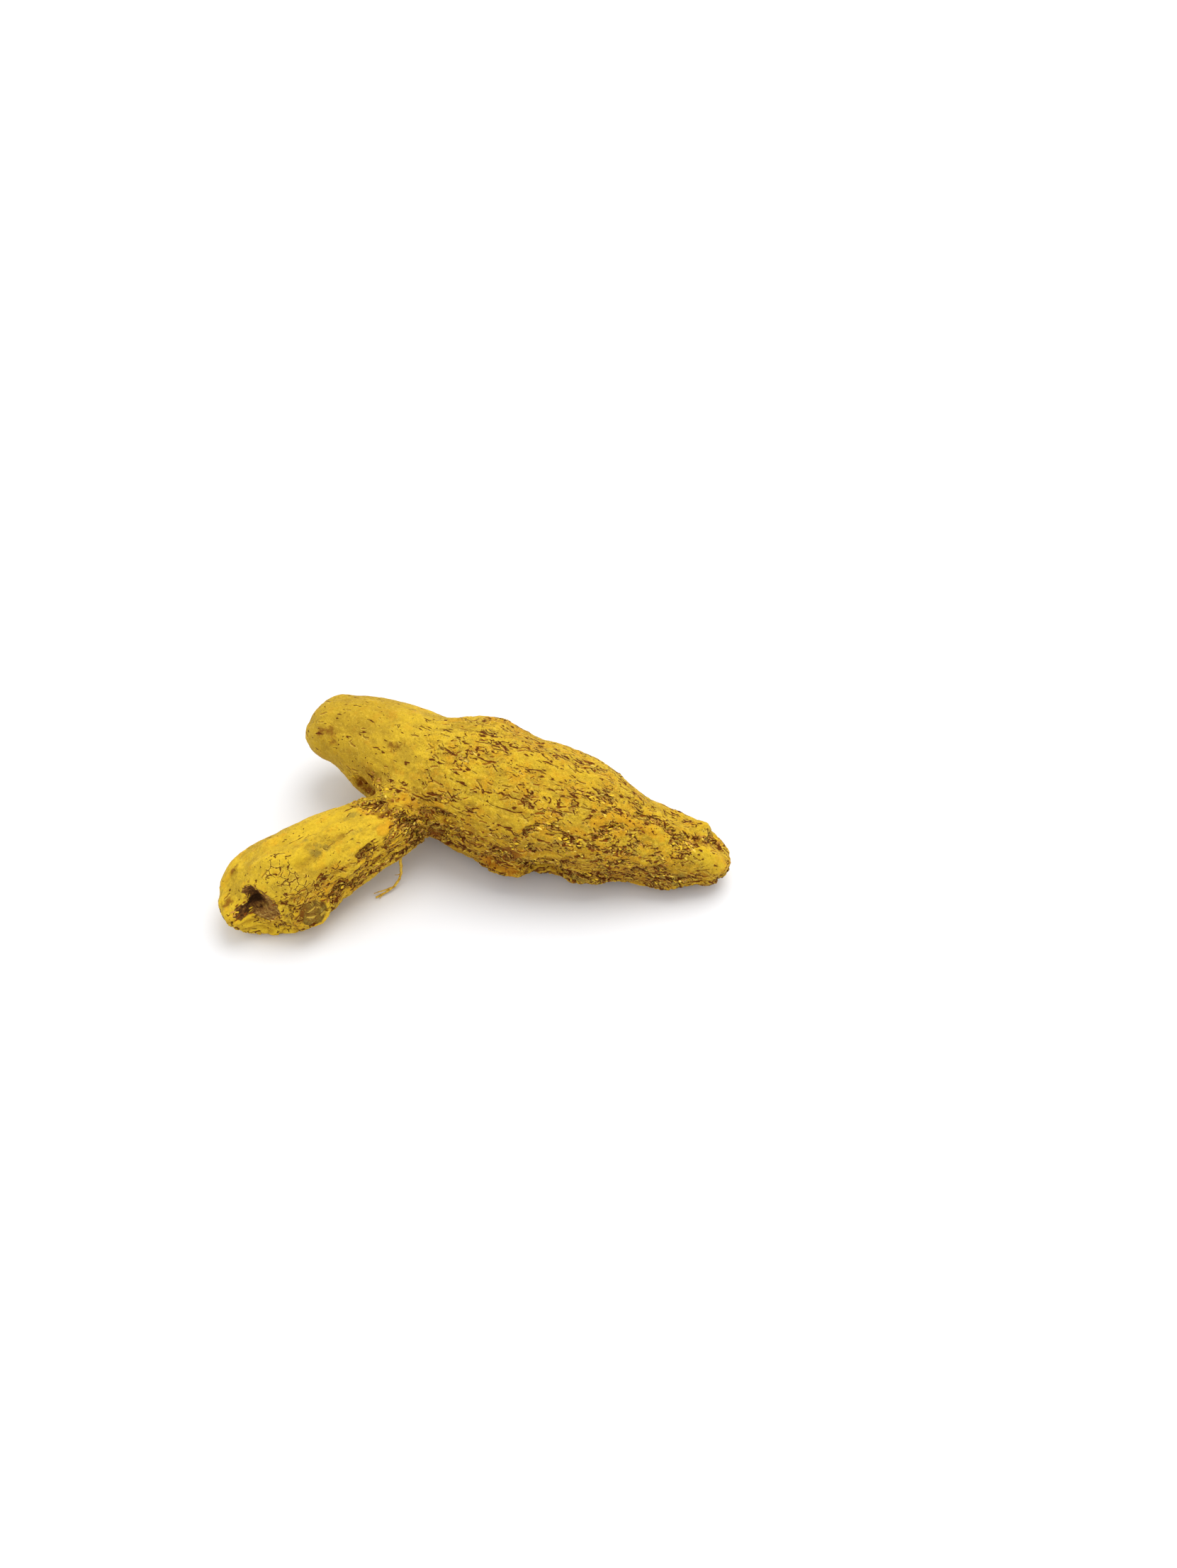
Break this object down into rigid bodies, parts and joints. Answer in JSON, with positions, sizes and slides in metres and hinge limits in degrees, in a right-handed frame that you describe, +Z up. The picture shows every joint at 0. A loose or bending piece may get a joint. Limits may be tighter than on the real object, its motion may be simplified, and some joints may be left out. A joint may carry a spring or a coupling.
{
  "type": "dried turmeric root",
  "caption": "Branched dried turmeric rhizome lying on its side: a thick tapering main finger with a shorter side finger and a thin dry rootlet at the fork.",
  "frame": {"origin": "on the table, below the middle of the root's box", "axes": "+X from the blunt head along the main finger to its tip, +Y away from the side finger, +Z up"},
  "size_m": [0.0585, 0.0344, 0.0165],
  "materials": {
    "turmeric_skin": "matte, powdery and cracked",
    "rootlet_fibre": "dry fibre"
  },
  "bodies": {
    "root": {"rhizome": "turmeric_skin", "rootlet": "rootlet_fibre"}
  },
  "joints": []
}
